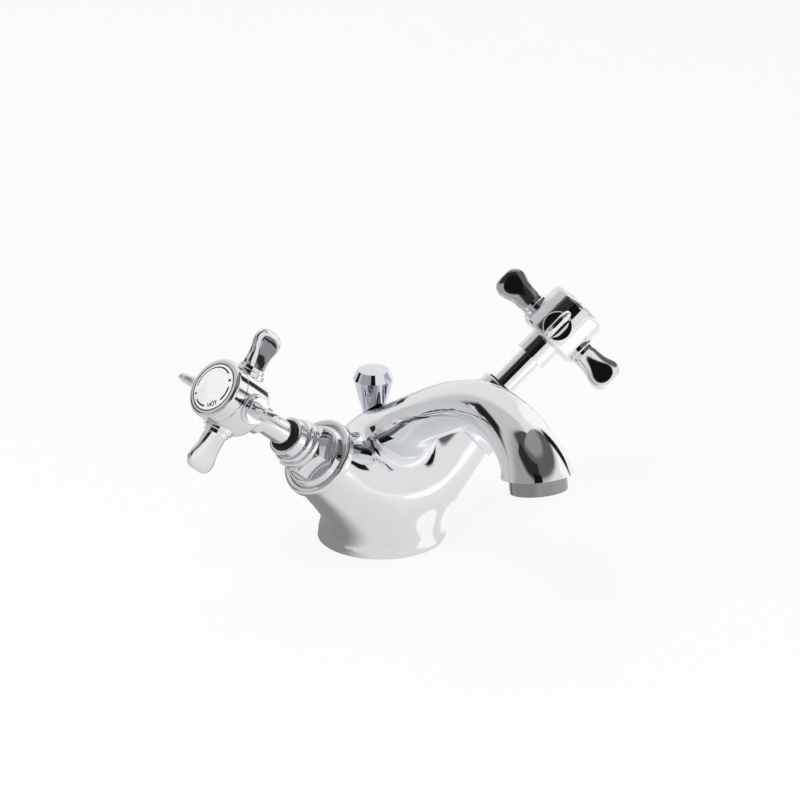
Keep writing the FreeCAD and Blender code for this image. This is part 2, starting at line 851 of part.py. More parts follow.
def gland_seal(label):
    inner = "spindle_radius + running_gap"
    bottom = GLAND_TOP + " - seal_depth"
    top = GLAND_TOP + " + seal_proud"
    body = turned(label, [
        (inner, bottom),
        (SEAL_RADIUS, bottom),
        (SEAL_RADIUS, top),
        (inner, top),
    ])
    rounded(body, label + "_rounded", "seal_proud*0.8", [(SEAL_RADIUS, top)])
    return body


def seat_seal(label):
    return turned(label, [
        ("headwork_foot_radius - seat_seal_width", "socket_floor"),
        ("headwork_foot_radius", "socket_floor"),
        ("headwork_foot_radius", SEAT),
        ("headwork_foot_radius - seat_seal_width", SEAT),
    ])


def ceramic_disc(label, bottom, along_x, slotted):
    body = turned(label, [
        ("0", bottom),
        ("disc_radius", bottom),
        ("disc_radius", bottom + " + disc_thickness"),
        ("0", bottom + " + disc_thickness"),
    ])
    ports = sketch_on(body, label + "_ports_outline", "XY_Plane")
    if along_x:
        circle(ports, "port_offset", "0", "port_radius")
        circle(ports, "- port_offset", "0", "port_radius")
    else:
        circle(ports, "0", "port_offset", "port_radius")
        circle(ports, "0", "- port_offset", "port_radius")
    pocket_through(body, ports, label + "_ports")
    if slotted:
        slot = sketch_on(body, label + "_slot_outline", "XY_Plane", bottom + " + disc_thickness")
        half_width = "tang_width*0.5 + running_gap"
        half_length = "tang_length*0.5 + running_gap"
        polygon(slot, [
            ("- " + half_length.replace("+", "-"), "- " + half_width.replace("+", "-")),
            (half_length, "- " + half_width.replace("+", "-")),
            (half_length, half_width),
            ("- " + half_length.replace("+", "-"), half_width),
        ])
        cut = body.newObject("PartDesign::Pocket", label + "_slot")
        cut.Profile = slot
        bind(cut, Length="tang_depth + running_gap")
        body.Tip = cut
        doc.recompute()
    return body


def spindle(label):
    flange_top = SPINDLE_FOOT + " + spindle_flange"
    groove_top = ORING_START + " + oring_height"
    screw_floor = SPINDLE_TOP + " - screw_length - weld"
    body = turned(label, [
        ("0", SPINDLE_FOOT),
        ("disc_radius", SPINDLE_FOOT),
        ("disc_radius", flange_top),
        ("spindle_radius", flange_top),
        ("spindle_radius", ORING_START),
        ("spindle_radius - oring_depth", ORING_START),
        ("spindle_radius - oring_depth", groove_top),
        ("spindle_radius", groove_top),
        ("spindle_radius", SPLINE_START),
        (SPLINE_RADIUS, SPLINE_START),
        (SPLINE_RADIUS, SPINDLE_TOP),
        ("screw_radius + seat_gap", SPINDLE_TOP),
        ("screw_radius + seat_gap", screw_floor),
        ("0", screw_floor),
    ])
    tang = sketch_on(body, label + "_tang_outline", "XY_Plane", SPINDLE_FOOT)
    polygon(tang, [
        ("- tang_length*0.5", "- tang_width*0.5"),
        ("tang_length*0.5", "- tang_width*0.5"),
        ("tang_length*0.5", "tang_width*0.5"),
        ("- tang_length*0.5", "tang_width*0.5"),
    ])
    pad(body, tang, label + "_tang", "tang_depth", backwards=True)
    return body


def spindle_ring(label):
    return turned(label, [
        ("spindle_radius - oring_depth", ORING_START),
        ("spindle_radius", ORING_START),
        ("spindle_radius", ORING_START + " + oring_height"),
        ("spindle_radius - oring_depth", ORING_START + " + oring_height"),
    ])


def handle_neck(label):
    return turned(label, [
        ("spindle_radius + seat_gap", SLEEVE_BOTTOM),
        ("sleeve_radius", SLEEVE_BOTTOM),
        ("sleeve_radius", HUB_BOTTOM),
        ("spindle_radius + seat_gap", HUB_BOTTOM),
    ])


def handle_hub(label):
    body = turned(label, [
        (SPLINE_RADIUS + " + seat_gap", HUB_BOTTOM),
        ("hub_radius", HUB_BOTTOM),
        ("hub_radius", HUB_TOP),
        ("hub_cavity_radius", HUB_TOP),
        ("hub_cavity_radius", SPINDLE_TOP),
        (SPLINE_RADIUS + " + seat_gap", SPINDLE_TOP),
    ])
    rounded(body, label + "_rounded", "hub_round", [("hub_radius", HUB_BOTTOM)])
    face = sketch_on(body, label + "_boss_outline", "YZ_Plane", "hub_cavity_radius + weld")
    circle(face, "0", SPOKE_LEVEL, "boss_radius")
    boss = pad(body, face, label + "_boss", BOSS_END + " - hub_cavity_radius - weld")
    ring_of(body, boss, label + "_bosses", 4)
    rounded(body, label + "_boss_rims", "boss_proud*0.8", [("boss_radius", SPOKE_LEVEL)])
    mouth = sketch_on(body, label + "_tap_outline", "YZ_Plane", BOSS_END)
    circle(mouth, "0", SPOKE_LEVEL, "tail_radius + seat_gap")
    tap = body.newObject("PartDesign::Pocket", label + "_tap")
    tap.Profile = mouth
    bind(tap, Length="boss_proud + tail_depth")
    body.Tip = tap
    doc.recompute()
    ring_of(body, tap, label + "_taps", 4)
    return body


PADDLE = ("root", "nip", "swell", "broad", "nose", "tip")
PADDLE_POINTS = 36


def paddle_section(label, station, reach):
    """One section of a paddle, square to the spoke: flat faces along the valve axis, round edges."""
    half = total(f"{station}_half")
    thick = total(f"{station}_thick")
    square = total("paddle_square")
    points = []
    for step in range(PADDLE_POINTS):
        angle = 2 * math.pi * step / PADDLE_POINTS
        across, along = math.sin(angle), math.cos(angle)
        swell = (abs(across) ** square + abs(along) ** square) ** (-1 / square)
        points.append(Vector(total(reach), thick * swell * across, half * swell * along))
    outline = doc.addObject("Part::Feature", f"{label}_{station}")
    outline.Shape = closed_curve(points)
    return outline


def spoke(label):
    """One paddle along local X, screwed in by its tail and lofted out from a round root."""
    body = new_body(label + "_stem")
    collar_end = BOSS_END + " + spoke_collar"
    profile = sketch_on(body, label + "_profile", "XZ_Plane")
    polygon(profile, [
        (TAIL_START, "0"),
        (TAIL_START, "tail_radius"),
        (BOSS_END, "tail_radius"),
        (BOSS_END, "spoke_collar_radius"),
        (collar_end, "spoke_collar_radius"),
        (collar_end, "0"),
    ])
    stem = body.newObject("PartDesign::Revolution", label + "_turned")
    stem.Profile = profile
    stem.ReferenceAxis = (profile, ["H_Axis"])
    stem.Angle = 360.0
    body.Tip = stem
    doc.recompute()
    reach = collar_end
    rings = [paddle_section(label, "root", reach)]
    for station in PADDLE[1:]:
        reach += f" + {station}_step"
        rings.append(paddle_section(label, station, reach))
    blade = loft(label + "_paddle", rings)
    whole = united(label, [body, blade])
    whole.Label = label
    return whole


def handle_cap(label):
    top = HUB_TOP + " + cap_height"
    floor = HUB_TOP + " + cap_floor"
    body = turned(label, [
        ("0", HUB_TOP),
        ("cap_radius", HUB_TOP),
        ("cap_radius", top),
        (INDEX_RADIUS + " + seat_gap", top),
        (INDEX_RADIUS + " + seat_gap", floor),
        ("0", floor),
    ])
    rounded(body, label + "_rounded", "cap_rim*0.7", [("cap_radius", top)])
    return body


def index_disc(label):
    """A disc with a shallow dome: a bar cut off by a large ball."""
    floor = HUB_TOP + " + cap_floor"
    bar = cylinder(label + "_bar", INDEX_RADIUS, "index_edge + index_rise", raised(FRAME_PLACE, floor))
    ball = doc.addObject("Part::Sphere", label + "_ball")
    across = formula(INDEX_RADIUS)
    ball_radius = f"(({across})^2 + Sizes.index_rise^2) / (2 * Sizes.index_rise)"
    ball.setExpression("Radius", ball_radius)
    crown = formula(floor + " + index_edge + index_rise")
    put(ball, f"placement(vector(0; 0; {crown} - ({ball_radius})); rotation(0; 0; 0))")
    disc = doc.addObject("Part::Common", label)
    disc.Base = bar
    disc.Tool = ball
    disc.Label = label
    return disc


def handle_screw(label):
    return turned(label, [
        ("0", SPINDLE_TOP + " - screw_length"),
        ("screw_radius", SPINDLE_TOP + " - screw_length"),
        ("screw_radius", SPINDLE_TOP),
        ("screw_head_radius", SPINDLE_TOP),
        ("screw_head_radius", SPINDLE_TOP + " + screw_head"),
        ("0", SPINDLE_TOP + " + screw_head"),
    ])


for side in ("hot", "cold"):
    stack = [
        bonnet_flange(f"{side}_bonnet_flange"),
        headwork(f"{side}_headwork"),
        gland_nut(f"{side}_gland_nut"),
        gland_seal(f"{side}_gland_seal"),
        seat_seal(f"{side}_seat_seal"),
        ceramic_disc(f"{side}_fixed_disc", SEAT, True, False),
        ceramic_disc(f"{side}_moving_disc", MOVING, False, True),
        spindle(f"{side}_spindle"),
        spindle_ring(f"{side}_spindle_ring"),
        handle_neck(f"{side}_handle_neck"),
        handle_cap(f"{side}_handle_cap"),
        index_disc(f"{side}_index"),
        handle_screw(f"{side}_handle_screw"),
    ]
    for piece in stack:
        put(piece, VALVE_PLACE[side])
    hub = handle_hub(f"{side}_handle_hub")
    turning = f"placement(vector(0; 0; 0); rotation(Sizes.{side}_twist; 0; 0))"
    put(hub, f"{VALVE_PLACE[side]} * {turning}")
    spokes = [spoke(f"{side}_spoke_{number}") for number in (1, 2, 3, 4)]
    for quarter, blade in enumerate(spokes):
        put(blade, twisted(side, quarter))
    PARTS += stack + [hub] + spokes

housing_top = "washer_height - mouth_depth"
insert_end = "aerator_drop - aerator_lip_height"
aerator_housing = turned("aerator_housing", [
    (AERATOR_BORE + " + seat_gap", housing_top),
    (MOUTH_BORE + " - seat_gap", housing_top),
    (MOUTH_BORE + " - seat_gap", "0"),
    (MOUTH_BORE + " + aerator_step", "0"),
    (MOUTH_BORE + " + aerator_step", "aerator_drop"),
    (AERATOR_BORE + " - aerator_lip_reach", "aerator_drop"),
    (AERATOR_BORE + " - aerator_lip_reach", insert_end),
    (AERATOR_BORE + " + seat_gap", insert_end),
])
aerator_insert = turned("aerator_insert", [
    ("0", insert_end + " - insert_floor"),
    (AERATOR_BORE + " - insert_wall", insert_end + " - insert_floor"),
    (AERATOR_BORE + " - insert_wall", housing_top),
    (AERATOR_BORE, housing_top),
    (AERATOR_BORE, insert_end),
    ("0", insert_end),
])
jet_outline = sketch_on(aerator_insert, "jet_outline", "XY_Plane")
circle(jet_outline, "jet_circle", "0", "jet_radius")
jet = pocket_through(aerator_insert, jet_outline, "jet")
ring_of(aerator_insert, jet, "jets", 8)
aerator_washer = turned("aerator_washer", [
    (MOUTH_BORE + " - washer_width", "- mouth_depth"),
    (MOUTH_BORE + " - seat_gap", "- mouth_depth"),
    (MOUTH_BORE + " - seat_gap", housing_top),
    (MOUTH_BORE + " - washer_width", housing_top),
])
for piece in (aerator_housing, aerator_insert, aerator_washer):
    put(piece, MOUTH_PLACE)
    PARTS.append(piece)

lift_bush = turned("lift_rod_bush", [
    ("rod_radius + running_gap", "bush_bottom"),
    (BUSH_RADIUS, "bush_bottom"),
    (BUSH_RADIUS, "bush_bottom + bush_length"),
    ("rod_radius + running_gap", "bush_bottom + bush_length"),
])
lift_rod = turned("lift_rod", [
    ("0", "rod_bottom"),
    ("rod_radius", "rod_bottom"),
    ("rod_radius", ROD_TOP),
    ("0", ROD_TOP),
])
lift_knob = turned("lift_knob", [
    ("rod_radius + seat_gap", "knob_bottom"),
    ("knob_foot_radius", "knob_bottom"),
    ("knob_stem_radius", "knob_bottom + knob_stem"),
    ("knob_radius", KNOB_WIDE),
    ("knob_bevel_radius", KNOB_BEVEL),
    ("0", KNOB_TOP),
    ("0", ROD_TOP),
    ("rod_radius + seat_gap", ROD_TOP),
])
for piece in (lift_bush, lift_rod, lift_knob):
    put(piece, lift_at("0"))
    PARTS.append(piece)

doc.recompute()
for thing in doc.Objects:
    if "Invalid" in thing.State or "Error" in thing.State:
        raise RuntimeError(f"{thing.Label} did not build")
os.makedirs("parts", exist_ok=True)
for piece in PARTS:
    if piece.Shape.isNull() or not piece.Shape.isValid() or not piece.Shape.Solids:
        raise RuntimeError(f"{piece.Label} is not a sound solid")
    piece.Shape.exportStep(f"parts/{piece.Label}.step")
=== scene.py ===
import json
import math

import bpy
from mathutils import Matrix, Vector


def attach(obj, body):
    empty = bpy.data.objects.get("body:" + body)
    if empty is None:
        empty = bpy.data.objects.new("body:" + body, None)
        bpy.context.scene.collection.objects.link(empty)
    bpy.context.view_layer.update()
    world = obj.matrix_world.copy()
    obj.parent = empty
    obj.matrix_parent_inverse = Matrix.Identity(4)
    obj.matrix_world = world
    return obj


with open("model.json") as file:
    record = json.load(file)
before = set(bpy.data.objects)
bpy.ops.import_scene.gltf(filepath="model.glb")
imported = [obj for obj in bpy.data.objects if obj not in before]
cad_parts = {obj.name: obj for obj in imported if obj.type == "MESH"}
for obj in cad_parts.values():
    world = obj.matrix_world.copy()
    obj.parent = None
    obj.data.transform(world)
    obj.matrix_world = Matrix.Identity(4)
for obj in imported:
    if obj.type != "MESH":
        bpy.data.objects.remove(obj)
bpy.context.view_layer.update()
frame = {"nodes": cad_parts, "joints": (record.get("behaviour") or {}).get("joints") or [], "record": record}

NODES = frame["nodes"]
MM = 0.001

# The two valve axes and their shared pivot come from the frame's own joints.
JOINTS = {joint["name"]: joint for joint in frame["joints"]}
PIVOT = Vector(JOINTS["hot_turn"]["pos_m"])
VALVE_AXIS = {side: Vector(JOINTS[f"{side}_turn"]["axis"]).normalized() for side in ("hot", "cold")}

# Materials. Each one has fine procedural detail in its colour, roughness and bump.
# Most of a noise texture lies between these two values.
NOISE_LOW = 0.3
NOISE_HIGH = 0.7


def new_material(name):
    material = bpy.data.materials.new(name)
    material.use_nodes = True
    tree = material.node_tree
    tree.nodes.clear()
    output = tree.nodes.new("ShaderNodeOutputMaterial")
    shader = tree.nodes.new("ShaderNodeBsdfPrincipled")
    tree.links.new(shader.outputs["BSDF"], output.inputs["Surface"])
    return material, tree, shader


def noise(tree, scale, detail=3.0):
    """Noise in the frame's own metres."""
    place = tree.nodes.new("ShaderNodeTexCoord")
    texture = tree.nodes.new("ShaderNodeTexNoise")
    texture.inputs["Scale"].default_value = scale
    texture.inputs["Detail"].default_value = detail
    tree.links.new(place.outputs["Object"], texture.inputs["Vector"])
    return texture.outputs["Fac"]


def spread(tree, source, low, high):
    """Maps a texture's middle range to the range from low to high."""
    node = tree.nodes.new("ShaderNodeMapRange")
    node.inputs["From Min"].default_value = NOISE_LOW
    node.inputs["From Max"].default_value = NOISE_HIGH
    node.inputs["To Min"].default_value = low
    node.inputs["To Max"].default_value = high
    tree.links.new(source, node.inputs["Value"])
    return node.outputs["Result"]


def tinted(tree, source, dark, light):
    """Maps a texture's middle range to the colours from dark to light."""
    ramp = tree.nodes.new("ShaderNodeValToRGB")
    ramp.color_ramp.elements[0].position = NOISE_LOW
    ramp.color_ramp.elements[0].color = (*dark, 1.0)
    ramp.color_ramp.elements[1].position = NOISE_HIGH
    ramp.color_ramp.elements[1].color = (*light, 1.0)
    tree.links.new(source, ramp.inputs["Fac"])
    return ramp.outputs["Color"]


def bumped(tree, shader, source, strength, distance):
    bump = tree.nodes.new("ShaderNodeBump")
    bump.inputs["Strength"].default_value = strength
    bump.inputs["Distance"].default_value = distance
    tree.links.new(source, bump.inputs["Height"])
    tree.links.new(bump.outputs["Normal"], shader.inputs["Normal"])


def finish(name, dark, light, rough, scale, metallic=0.0):
    """A finish whose colour and roughness drift a little over the surface."""
    material, tree, shader = new_material(name)
    texture = noise(tree, scale)
    tree.links.new(tinted(tree, texture, dark, light), shader.inputs["Base Color"])
    tree.links.new(spread(tree, texture, *rough), shader.inputs["Roughness"])
    shader.inputs["Metallic"].default_value = metallic
    return material, tree, shader


def chrome(name, dark, light):
    """Bright chrome plate with faint clouding in its polish and a trace of orange peel."""
    material, tree, shader = finish(name, dark, light, rough=(0.015, 0.04), scale=140.0, metallic=1.0)
    bumped(tree, shader, noise(tree, scale=420.0, detail=1.0), strength=0.008, distance=0.2 * MM)
    return material


def porcelain():
    """White porcelain under a clear glaze."""
    material, tree, shader = finish(
        "glazed_porcelain", dark=(0.865, 0.862, 0.85), light=(0.88, 0.877, 0.868),
        rough=(0.06, 0.1), scale=260.0)
    bumped(tree, shader, noise(tree, scale=300.0), strength=0.01, distance=0.1 * MM)
    shader.inputs["Coat Weight"].default_value = 0.6
    shader.inputs["Coat Roughness"].default_value = 0.05
    return material


def rubber():
    """Matt black rubber."""
    material, tree, shader = finish(
        "black_rubber", dark=(0.007, 0.007, 0.008), light=(0.016, 0.016, 0.018),
        rough=(0.4, 0.58), scale=1800.0)
    shader.inputs["Specular IOR Level"].default_value = 0.25
    bumped(tree, shader, noise(tree, scale=2600.0), strength=0.25, distance=0.1 * MM)
    return material


def white_ceramic():
    """Ground ceramic of the valve discs."""
    material, tree, shader = finish(
        "white_ceramic", dark=(0.80, 0.80, 0.78), light=(0.87, 0.87, 0.86),
        rough=(0.30, 0.42), scale=900.0)
    bumped(tree, shader, noise(tree, scale=1500.0), strength=0.1, distance=0.05 * MM)
    return material


def grey_plastic():
    """Moulded plastic with a fine grain."""
    material, tree, shader = finish(
        "grey_plastic", dark=(0.30, 0.31, 0.32), light=(0.36, 0.37, 0.38),
        rough=(0.38, 0.52), scale=1400.0)
    bumped(tree, shader, noise(tree, scale=2000.0), strength=0.15, distance=0.1 * MM)
    return material


def brass():
    """Bare turned brass of the lift rod's bush."""
    material, tree, shader = finish(
        "turned_brass", dark=(0.62, 0.46, 0.20), light=(0.72, 0.55, 0.27),
        rough=(0.22, 0.36), scale=700.0, metallic=1.0)
    bumped(tree, shader, noise(tree, scale=1500.0), strength=0.1, distance=0.1 * MM)
    return material


def steel():
    """Plain steel of the hidden screws."""
    material, tree, shader = finish(
        "plain_steel", dark=(0.50, 0.51, 0.52), light=(0.62, 0.63, 0.64),
        rough=(0.2, 0.34), scale=700.0, metallic=1.0)
    bumped(tree, shader, noise(tree, scale=1500.0), strength=0.1, distance=0.1 * MM)
    return material


MATERIALS = {
    "chrome": chrome("chrome_plate", dark=(0.785, 0.797, 0.815), light=(0.81, 0.822, 0.84)),
    "rubber": rubber(),
    "porcelain": porcelain(),
    "white_ceramic": white_ceramic(),
    "grey_plastic": grey_plastic(),
    "brass": brass(),
    "steel": steel(),
}
# Black ink of the print, also used for the painted shade round each disc.
INK_AND_SHADE, _, _ = finish("black_ink_and_shade", dark=(0.014, 0.014, 0.016), light=(0.03, 0.03, 0.032),
                   rough=(0.3, 0.42), scale=900.0)

SLOTS = {entry["node"]: entry["material_slot"] for entry in frame["record"]["subparts"]}
for name, node in NODES.items():
    node.data.materials.clear()
    node.data.materials.append(MATERIALS[SLOTS[name]])

# The lift knob's plate is a little bluer than the rest, and the outlet ring's is darker.
KNOB_CHROME = chrome("knob_chrome_plate", dark=(0.755, 0.79, 0.845), light=(0.78, 0.815, 0.87))
NODES["lift_knob"].data.materials[0] = KNOB_CHROME
OUTLET_CHROME = chrome("outlet_dark_plate", dark=(0.27, 0.275, 0.285), light=(0.31, 0.315, 0.325))
NODES["aerator_housing"].data.materials[0] = OUTLET_CHROME

# Shading of the freeform pieces: true edges stay sharp, and between them each normal is the mean
# of the normals in a small round patch, so that the facets don't show in the chrome.
WELD_DISTANCE = 0.002 * MM
SHARP_ANGLE = math.radians(28.0)
# A normal in the patch counts where its cosine to the middle one is more than this.
SAME_FACE = 0.85
# Rings of the patch: share of its radius, and weight.
PATCH_RINGS = ((0.34, 0.8), (0.67, 0.5), (1.0, 0.2))
PATCH_SPOKES = 8
# Any direction does, as long as no large face looks that way.
TANGENT_HELPER = (0.31, 0.52, 0.8)
EVENING_PASSES = 2
CASTING_PATCH = 2.6 * MM
SPOKE_PATCH = 0.8 * MM


def even_shading(name, reach):
    """A modifier's node tree that evens the normals over patches of the given radius."""
    tree = bpy.data.node_groups.new(name, "GeometryNodeTree")
    tree.interface.new_socket("Mesh", in_out="INPUT", socket_type="NodeSocketGeometry")
    tree.interface.new_socket("Mesh", in_out="OUTPUT", socket_type="NodeSocketGeometry")

    def vector_math(operation, *values):
        node = tree.nodes.new("ShaderNodeVectorMath")
        node.operation = operation
        for socket, value in zip(node.inputs, values):
            if isinstance(value, tuple):
                socket.default_value = value
            else:
                tree.links.new(value, socket)
        return node

    def scaled(vector, factor):
        node = vector_math("SCALE", vector)
        if isinstance(factor, float):
            node.inputs["Scale"].default_value = factor
        else:
            tree.links.new(factor, node.inputs["Scale"])
        return node.outputs["Vector"]

    def patch_mean(geometry, normal):
        """The weighted mean normal of a patch in the tangent plane, without those past an edge."""
        place = tree.nodes.new("GeometryNodeInputPosition").outputs["Position"]
        tangent = vector_math("CROSS_PRODUCT", normal, TANGENT_HELPER).outputs["Vector"]
        first = vector_math("NORMALIZE", tangent).outputs["Vector"]
        second = vector_math("CROSS_PRODUCT", normal, first).outputs["Vector"]
        mean = normal
        for share, weight in PATCH_RINGS:
            for step in range(PATCH_SPOKES):
                angle = 2 * math.pi * (step + share) / PATCH_SPOKES
                along = scaled(first, reach * share * math.cos(angle))
                across = scaled(second, reach * share * math.sin(angle))
                offset = vector_math("ADD", along, across).outputs["Vector"]
                spot = vector_math("ADD", place, offset).outputs["Vector"]
                probe = tree.nodes.new("GeometryNodeSampleNearestSurface")
                probe.data_type = "FLOAT_VECTOR"
                tree.links.new(geometry, probe.inputs["Mesh"])
                tree.links.new(normal, probe.inputs["Value"])
                tree.links.new(spot, probe.inputs["Sample Position"])
                likeness = vector_math("DOT_PRODUCT", probe.outputs["Value"], normal)
                same = tree.nodes.new("ShaderNodeMath")
                same.operation = "GREATER_THAN"
                tree.links.new(likeness.outputs["Value"], same.inputs[0])
                same.inputs[1].default_value = SAME_FACE
                counted = scaled(scaled(probe.outputs["Value"], weight), same.outputs["Value"])
                mean = vector_math("ADD", mean, counted).outputs["Vector"]
        return vector_math("NORMALIZE", mean).outputs["Vector"]

    source = tree.nodes.new("NodeGroupInput")
    result = tree.nodes.new("NodeGroupOutput")
    weld = tree.nodes.new("GeometryNodeMergeByDistance")
    weld.inputs["Distance"].default_value = WELD_DISTANCE
    fold = tree.nodes.new("GeometryNodeInputMeshEdgeAngle")
    sharp = tree.nodes.new("FunctionNodeCompare")
    sharp.operation = "GREATER_THAN"
    sharp.inputs["B"].default_value = SHARP_ANGLE
    split = tree.nodes.new("GeometryNodeSplitEdges")
    bare = tree.nodes.new("GeometryNodeSetMeshNormal")
    bare.inputs["Remove Custom"].default_value = True
    smooth = tree.nodes.new("GeometryNodeSetShadeSmooth")
    tree.links.new(source.outputs["Mesh"], weld.inputs["Geometry"])
    tree.links.new(fold.outputs["Unsigned Angle"], sharp.inputs["A"])
    tree.links.new(weld.outputs["Geometry"], split.inputs["Mesh"])
    tree.links.new(sharp.outputs["Result"], split.inputs["Selection"])
    tree.links.new(split.outputs["Mesh"], bare.inputs["Mesh"])
    tree.links.new(bare.outputs["Mesh"], smooth.inputs["Geometry"])
    geometry = smooth.outputs["Geometry"]
    normal = tree.nodes.new("GeometryNodeInputNormal").outputs["Normal"]
    for turn in range(EVENING_PASSES):
        keep = tree.nodes.new("GeometryNodeStoreNamedAttribute")
        keep.data_type = "FLOAT_VECTOR"
        keep.domain = "POINT"
        keep.inputs["Name"].default_value = f"even_{turn}"
        tree.links.new(geometry, keep.inputs["Geometry"])
        tree.links.new(patch_mean(geometry, normal), keep.inputs["Value"])
        geometry = keep.outputs["Geometry"]
        kept = tree.nodes.new("GeometryNodeInputNamedAttribute")
        kept.data_type = "FLOAT_VECTOR"
        kept.inputs["Name"].default_value = f"even_{turn}"
        normal = kept.outputs["Attribute"]
    even = tree.nodes.new("GeometryNodeSetMeshNormal")
    even.mode = "FREE"
    even.domain = "POINT"
    tree.links.new(geometry, even.inputs["Mesh"])
    tree.links.new(normal, even.inputs["Custom Normal"])
    geometry = even.outputs["Mesh"]
    for turn in range(EVENING_PASSES):
        drop = tree.nodes.new("GeometryNodeRemoveAttribute")
        drop.inputs["Name"].default_value = f"even_{turn}"
        tree.links.new(geometry, drop.inputs["Geometry"])
        geometry = drop.outputs["Geometry"]
    tree.links.new(geometry, result.inputs["Mesh"])
    return tree


EVEN_CASTING = even_shading("even_casting", CASTING_PATCH)
EVEN_SPOKE = even_shading("even_spoke", SPOKE_PATCH)
for name, node in NODES.items():
    if name == "body_casting" or "_spoke_" in name:
        evened = node.modifiers.new("even_shading", "NODES")
        evened.node_group = EVEN_CASTING if name == "body_casting" else EVEN_SPOKE

# Index print: a ring with two dots, broken for a plain word. A dark line of painted shade runs round the
# edge of each porcelain disc, standing in for the shadow in the gap round it.
RING_RADIUS = 8.7 * MM
RING_WIDTH = 0.68 * MM
# A ring of painted shade at each disc's edge, standing in for the shadow in the gap round it.
SHADOW_GAP_RADIUS = 10.3 * MM
SHADOW_GAP_WIDTH = 0.5 * MM
DOT_RADIUS = 0.62 * MM
DOT_SIDES = 20
WORD_RADIUS = 8.2 * MM
WORD_SIZE = 2.3 * MM
WORD_BOLD = 0.04
WORD_SMOOTHNESS = 4
PRINT_LIFT = 0.03 * MM
# The print is laid on the dome from this far along the valve axis.
LAID_FROM = 200.0 * MM
ARCS = ((22, 158), (-62, -20), (-160, -118))
FULL_TURN = 360
DEGREES_PER_STEP = 4
BASELINE = {"hot": math.radians(38.5), "cold": math.radians(-38.5)}


def arc_strip(middle, width, start, end):
    """Corners and faces of a flat strip along a circle, between two angles."""
    steps = (end - start) // DEGREES_PER_STEP
    corners = []
    for step in range(steps + 1):
        angle = math.radians(start + (end - start) * step / steps)
        for radius in (middle - width / 2, middle + width / 2):
            corners.append((radius * math.cos(angle), radius * math.sin(angle)))
    faces = [(2 * step, 2 * step + 1, 2 * step + 3, 2 * step + 2) for step in range(steps)]
    return corners, faces


def dot(angle):
    """A small round dot on the ring."""
    centre = (RING_RADIUS * math.cos(angle), RING_RADIUS * math.sin(angle))
    turns = [2 * math.pi * step / DOT_SIDES for step in range(DOT_SIDES)]
    corners = [(centre[0] + DOT_RADIUS * math.cos(turn), centre[1] + DOT_RADIUS * math.sin(turn))
               for turn in turns]
    return corners, [tuple(range(DOT_SIDES))]


def word(letters):
    """The letters' flat faces, centred at the foot of the ring."""
    curve = bpy.data.curves.new(letters, "FONT")
    curve.body = letters
    curve.size = WORD_SIZE
    curve.offset = WORD_SIZE * WORD_BOLD
    curve.align_x = "CENTER"
    curve.align_y = "CENTER"
    curve.resolution_u = WORD_SMOOTHNESS
    carrier = bpy.data.objects.new(letters, curve)
    flat = carrier.to_mesh()
    corners = [(point.co.x, point.co.y - WORD_RADIUS) for point in flat.vertices]
    faces = [tuple(face.vertices) for face in flat.polygons]
    carrier.to_mesh_clear()
    bpy.data.objects.remove(carrier)
    return corners, faces


def lay_print_and_shade(side, letters):
    """Lays the print and the ring of painted shade on the side's dome, and lets them turn with the handle.
    """
    axis = VALVE_AXIS[side]
    level = Vector((0.0, 0.0, 1.0)).cross(axis).normalized()
    climb = axis.cross(level)
    across = level * math.cos(BASELINE[side]) + climb * math.sin(BASELINE[side])
    upward = axis.cross(across)
    dome = NODES[f"{side}_index"]
    shapes = [arc_strip(RING_RADIUS, RING_WIDTH, *arc) for arc in ARCS]
    shapes += [dot(0.0), dot(math.pi), word(letters)]
    # The ring of painted shade at the disc's edge, for the shadow in the gap round it.
    shapes.append(arc_strip(SHADOW_GAP_RADIUS, SHADOW_GAP_WIDTH, 0, FULL_TURN))
    points = []
    faces = []
    for corners, loops in shapes:
        first = len(points)
        for x, y in corners:
            above = PIVOT + axis * LAID_FROM + across * x + upward * y
            _, place, _, _ = dome.ray_cast(above, -axis)
            points.append(place + axis * PRINT_LIFT)
        faces.extend(tuple(first + index for index in loop) for loop in loops)
    mesh = bpy.data.meshes.new(f"{side}_index_print_and_shade")
    mesh.from_pydata(points, [], faces)
    mesh.materials.append(INK_AND_SHADE)
    piece = bpy.data.objects.new(f"{side}_index_print_and_shade", mesh)
    bpy.context.scene.collection.objects.link(piece)
    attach(piece, f"{side}_handle")


bpy.context.view_layer.update()
lay_print_and_shade("hot", "HOT")
lay_print_and_shade("cold", "COLD")

# Stage: a pale round floor that reads as plain white and keeps a soft shadow.
FLOOR_DROP = 0.3 * MM
FLOOR_REACH = 1.1
FLOOR_SIDES = 64
FLOOR_COLOUR = (0.9, 0.9, 0.9, 1.0)
# Share of the floor's look that is plain white. The rest takes the shadow.
FLOOR_WHITE = 0.86
floor_rim = []
for step in range(FLOOR_SIDES):
    turn = 2 * math.pi * step / FLOOR_SIDES
    floor_rim.append((FLOOR_REACH * math.cos(turn), FLOOR_REACH * math.sin(turn), -FLOOR_DROP))
floor_mesh = bpy.data.meshes.new("floor")
floor_mesh.from_pydata(floor_rim, [], [tuple(range(FLOOR_SIDES))])
floor = bpy.data.objects.new("floor", floor_mesh)
bpy.context.scene.collection.objects.link(floor)

